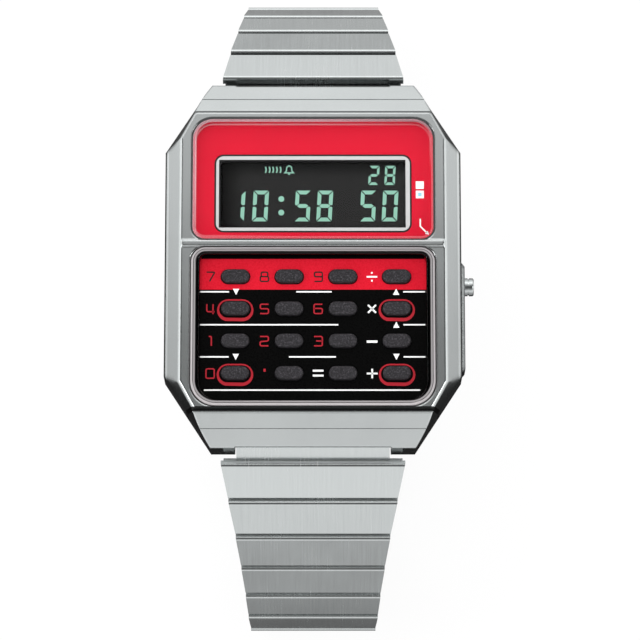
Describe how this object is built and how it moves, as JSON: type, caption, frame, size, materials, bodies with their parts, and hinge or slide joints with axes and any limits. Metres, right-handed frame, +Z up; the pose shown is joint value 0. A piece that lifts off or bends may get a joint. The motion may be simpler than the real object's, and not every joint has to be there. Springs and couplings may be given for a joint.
{
  "type": "calculator watch",
  "caption": "Digital wristwatch with a calculator keypad of pill-shaped keys below a red-framed display, on a tapering steel bracelet closed by a folding clasp.",
  "frame": {"origin": "on the clasp's flat underside, straight below the middle of the dial", "axes": "+Z up out of the dial, +Y towards twelve o'clock, +X towards three o'clock and the side button"},
  "size_m": [0.0359, 0.077, 0.0425],
  "materials": {
    "case_steel": "polished and satin bands",
    "bracelet_steel": "brushed along the bracelet",
    "hard_steel": "turned",
    "lens_clear": "clear",
    "rim_clear": "clear with a pink tint",
    "red_print": "gloss",
    "frame_silver": "satin",
    "cell_dark": "gloss",
    "keypad_print": "gloss, black with a red band",
    "key_grain": "grained",
    "rubber": "matt",
    "module_black": "matt",
    "board_green": "satin",
    "cell_steel": "bright",
    "brass": "satin"
  },
  "bodies": {
    "case": {"case_body": "case_steel", "case_back": "case_steel", "back_gasket": "rubber", "back_screws": "hard_steel", "spring_bars": "hard_steel", "button_spring": "hard_steel", "button_seal": "rubber", "display_lens": "lens_clear", "display_mask": "red_print", "lcd_frame": "frame_silver", "lcd_cell": "cell_dark", "zebra_strip": "rubber", "keypad_plate": "keypad_print", "keypad_rim": "rim_clear", "key_membrane": "rubber", "module_frame": "module_black", "circuit_board": "board_green", "battery": "cell_steel", "battery_clip": "hard_steel", "buzzer_disc": "brass", "buzzer_spring": "hard_steel"},
    "lower_link_1": {"lower_link_1": "bracelet_steel"},
    "lower_link_2": {"lower_link_2": "bracelet_steel"},
    "lower_link_3": {"lower_link_3": "bracelet_steel"},
    "lower_link_4": {"lower_link_4": "bracelet_steel"},
    "lower_link_5": {"lower_link_5": "bracelet_steel"},
    "lower_link_6": {"lower_link_6": "bracelet_steel"},
    "lower_link_7": {"lower_link_7": "bracelet_steel"},
    "lower_link_8": {"lower_link_8": "bracelet_steel"},
    "lower_link_9": {"lower_link_9": "bracelet_steel"},
    "lower_link_10": {"lower_link_10": "bracelet_steel"},
    "clasp_cover": {"clasp_cover": "bracelet_steel"},
    "clasp_arm": {"clasp_arm": "bracelet_steel"},
    "upper_link_1": {"upper_link_1": "bracelet_steel"},
    "upper_link_2": {"upper_link_2": "bracelet_steel"},
    "upper_link_3": {"upper_link_3": "bracelet_steel"},
    "upper_link_4": {"upper_link_4": "bracelet_steel"},
    "upper_link_5": {"upper_link_5": "bracelet_steel"},
    "upper_link_6": {"upper_link_6": "bracelet_steel"},
    "upper_link_7": {"upper_link_7": "bracelet_steel"},
    "upper_link_8": {"upper_link_8": "bracelet_steel"},
    "upper_link_9": {"upper_link_9": "bracelet_steel"},
    "upper_link_10": {"upper_link_10": "bracelet_steel"},
    "mode_button": {"mode_button": "hard_steel"},
    "key_7": {"key_7": "key_grain"},
    "key_8": {"key_8": "key_grain"},
    "key_9": {"key_9": "key_grain"},
    "key_divide": {"key_divide": "key_grain"},
    "key_4": {"key_4": "key_grain"},
    "key_5": {"key_5": "key_grain"},
    "key_6": {"key_6": "key_grain"},
    "key_multiply": {"key_multiply": "key_grain"},
    "key_1": {"key_1": "key_grain"},
    "key_2": {"key_2": "key_grain"},
    "key_3": {"key_3": "key_grain"},
    "key_minus": {"key_minus": "key_grain"},
    "key_0": {"key_0": "key_grain"},
    "key_point": {"key_point": "key_grain"},
    "key_equals": {"key_equals": "key_grain"},
    "key_plus": {"key_plus": "key_grain"}
  },
  "joints": [
    {"name": "lower_link_1_hinge", "type": "hinge", "parent": "case", "child": "lower_link_1", "pos_m": [0, -0.0198, 0.0376], "axis": [-1, 0, 0], "range_deg": [0, 35]},
    {"name": "lower_link_2_hinge", "type": "hinge", "parent": "lower_link_1", "child": "lower_link_2", "pos_m": [0, -0.02676, 0.03273], "axis": [-1, 0, 0], "range_deg": [0, 8]},
    {"name": "lower_link_3_hinge", "type": "hinge", "parent": "lower_link_2", "child": "lower_link_3", "pos_m": [0, -0.03013, 0.02959], "axis": [-1, 0, 0], "range_deg": [0, 9]},
    {"name": "lower_link_4_hinge", "type": "hinge", "parent": "lower_link_3", "child": "lower_link_4", "pos_m": [0, -0.03296, 0.02597], "axis": [-1, 0, 0], "range_deg": [0, 7]},
    {"name": "lower_link_5_hinge", "type": "hinge", "parent": "lower_link_4", "child": "lower_link_5", "pos_m": [0, -0.03533, 0.02202], "axis": [-1, 0, 0], "range_deg": [0, 12]},
    {"name": "lower_link_6_hinge", "type": "hinge", "parent": "lower_link_5", "child": "lower_link_6", "pos_m": [0, -0.03683, 0.01767], "axis": [-1, 0, 0], "range_deg": [0, 13]},
    {"name": "lower_link_7_hinge", "type": "hinge", "parent": "lower_link_6", "child": "lower_link_7", "pos_m": [0, -0.03731, 0.0131], "axis": [-1, 0, 0], "range_deg": [0, 23]},
    {"name": "lower_link_8_hinge", "type": "hinge", "parent": "lower_link_7", "child": "lower_link_8", "pos_m": [0, -0.03596, 0.0087], "axis": [-1, 0, 0], "range_deg": [0, 24]},
    {"name": "lower_link_9_hinge", "type": "hinge", "parent": "lower_link_8", "child": "lower_link_9", "pos_m": [0, -0.03294, 0.00523], "axis": [-1, 0, 0], "range_deg": [0, 22]},
    {"name": "lower_link_10_hinge", "type": "hinge", "parent": "lower_link_9", "child": "lower_link_10", "pos_m": [0, -0.02885, 0.00314], "axis": [-1, 0, 0], "range_deg": [0, 17]},
    {"name": "clasp_cover_hinge", "type": "hinge", "parent": "lower_link_10", "child": "clasp_cover", "pos_m": [0, -0.02097, 0.00175], "axis": [-1, 0, 0], "range_deg": [0, 10]},
    {"name": "clasp_arm_hinge", "type": "hinge", "parent": "clasp_cover", "child": "clasp_arm", "pos_m": [0, -0.01557, 0.0019], "axis": [1, 0, 0], "range_deg": [0, 60]},
    {"name": "upper_link_1_hinge", "type": "hinge", "parent": "case", "child": "upper_link_1", "pos_m": [0, 0.0198, 0.0376], "axis": [1, 0, 0], "range_deg": [0, 35]},
    {"name": "upper_link_2_hinge", "type": "hinge", "parent": "upper_link_1", "child": "upper_link_2", "pos_m": [0, 0.02676, 0.03273], "axis": [1, 0, 0], "range_deg": [0, 9.8]},
    {"name": "upper_link_3_hinge", "type": "hinge", "parent": "upper_link_2", "child": "upper_link_3", "pos_m": [0, 0.03003, 0.02949], "axis": [1, 0, 0], "range_deg": [0, 8.8]},
    {"name": "upper_link_4_hinge", "type": "hinge", "parent": "upper_link_3", "child": "upper_link_4", "pos_m": [0, 0.03276, 0.02578], "axis": [1, 0, 0], "range_deg": [0, 9.8]},
    {"name": "upper_link_5_hinge", "type": "hinge", "parent": "upper_link_4", "child": "upper_link_5", "pos_m": [0, 0.03481, 0.02167], "axis": [1, 0, 0], "range_deg": [0, 11.8]},
    {"name": "upper_link_6_hinge", "type": "hinge", "parent": "upper_link_5", "child": "upper_link_6", "pos_m": [0, 0.03599, 0.01722], "axis": [1, 0, 0], "range_deg": [0, 17.8]},
    {"name": "upper_link_7_hinge", "type": "hinge", "parent": "upper_link_6", "child": "upper_link_7", "pos_m": [0, 0.03575, 0.01263], "axis": [1, 0, 0], "range_deg": [0, 21.8]},
    {"name": "upper_link_8_hinge", "type": "hinge", "parent": "upper_link_7", "child": "upper_link_8", "pos_m": [0, 0.03382, 0.00845], "axis": [1, 0, 0], "range_deg": [0, 21.8]},
    {"name": "upper_link_9_hinge", "type": "hinge", "parent": "upper_link_8", "child": "upper_link_9", "pos_m": [0, 0.03047, 0.00529], "axis": [1, 0, 0], "range_deg": [0, 18.8]},
    {"name": "upper_link_10_hinge", "type": "hinge", "parent": "upper_link_9", "child": "upper_link_10", "pos_m": [0, 0.02629, 0.00338], "axis": [1, 0, 0], "range_deg": [0, 12.8]},
    {"name": "mode_button_press", "type": "slide", "parent": "case", "child": "mode_button", "axis": [-1, 0, 0], "range_m": [0, 0.0008], "stiffness_N_per_m": 2000, "springref_m": -0.0002, "deforming": ["button_spring"]},
    {"name": "key_7_press", "type": "slide", "parent": "case", "child": "key_7", "axis": [0, 0, -1], "range_m": [0, 0.00035], "stiffness_N_per_m": 2500, "springref_m": -0.0001},
    {"name": "key_8_press", "type": "slide", "parent": "case", "child": "key_8", "axis": [0, 0, -1], "range_m": [0, 0.00035], "stiffness_N_per_m": 2500, "springref_m": -0.0001},
    {"name": "key_9_press", "type": "slide", "parent": "case", "child": "key_9", "axis": [0, 0, -1], "range_m": [0, 0.00035], "stiffness_N_per_m": 2500, "springref_m": -0.0001},
    {"name": "key_divide_press", "type": "slide", "parent": "case", "child": "key_divide", "axis": [0, 0, -1], "range_m": [0, 0.00035], "stiffness_N_per_m": 2500, "springref_m": -0.0001},
    {"name": "key_4_press", "type": "slide", "parent": "case", "child": "key_4", "axis": [0, 0, -1], "range_m": [0, 0.00035], "stiffness_N_per_m": 2500, "springref_m": -0.0001},
    {"name": "key_5_press", "type": "slide", "parent": "case", "child": "key_5", "axis": [0, 0, -1], "range_m": [0, 0.00035], "stiffness_N_per_m": 2500, "springref_m": -0.0001},
    {"name": "key_6_press", "type": "slide", "parent": "case", "child": "key_6", "axis": [0, 0, -1], "range_m": [0, 0.00035], "stiffness_N_per_m": 2500, "springref_m": -0.0001},
    {"name": "key_multiply_press", "type": "slide", "parent": "case", "child": "key_multiply", "axis": [0, 0, -1], "range_m": [0, 0.00035], "stiffness_N_per_m": 2500, "springref_m": -0.0001},
    {"name": "key_1_press", "type": "slide", "parent": "case", "child": "key_1", "axis": [0, 0, -1], "range_m": [0, 0.00035], "stiffness_N_per_m": 2500, "springref_m": -0.0001},
    {"name": "key_2_press", "type": "slide", "parent": "case", "child": "key_2", "axis": [0, 0, -1], "range_m": [0, 0.00035], "stiffness_N_per_m": 2500, "springref_m": -0.0001},
    {"name": "key_3_press", "type": "slide", "parent": "case", "child": "key_3", "axis": [0, 0, -1], "range_m": [0, 0.00035], "stiffness_N_per_m": 2500, "springref_m": -0.0001},
    {"name": "key_minus_press", "type": "slide", "parent": "case", "child": "key_minus", "axis": [0, 0, -1], "range_m": [0, 0.00035], "stiffness_N_per_m": 2500, "springref_m": -0.0001},
    {"name": "key_0_press", "type": "slide", "parent": "case", "child": "key_0", "axis": [0, 0, -1], "range_m": [0, 0.00035], "stiffness_N_per_m": 2500, "springref_m": -0.0001},
    {"name": "key_point_press", "type": "slide", "parent": "case", "child": "key_point", "axis": [0, 0, -1], "range_m": [0, 0.00035], "stiffness_N_per_m": 2500, "springref_m": -0.0001},
    {"name": "key_equals_press", "type": "slide", "parent": "case", "child": "key_equals", "axis": [0, 0, -1], "range_m": [0, 0.00035], "stiffness_N_per_m": 2500, "springref_m": -0.0001},
    {"name": "key_plus_press", "type": "slide", "parent": "case", "child": "key_plus", "axis": [0, 0, -1], "range_m": [0, 0.00035], "stiffness_N_per_m": 2500, "springref_m": -0.0001}
  ]
}
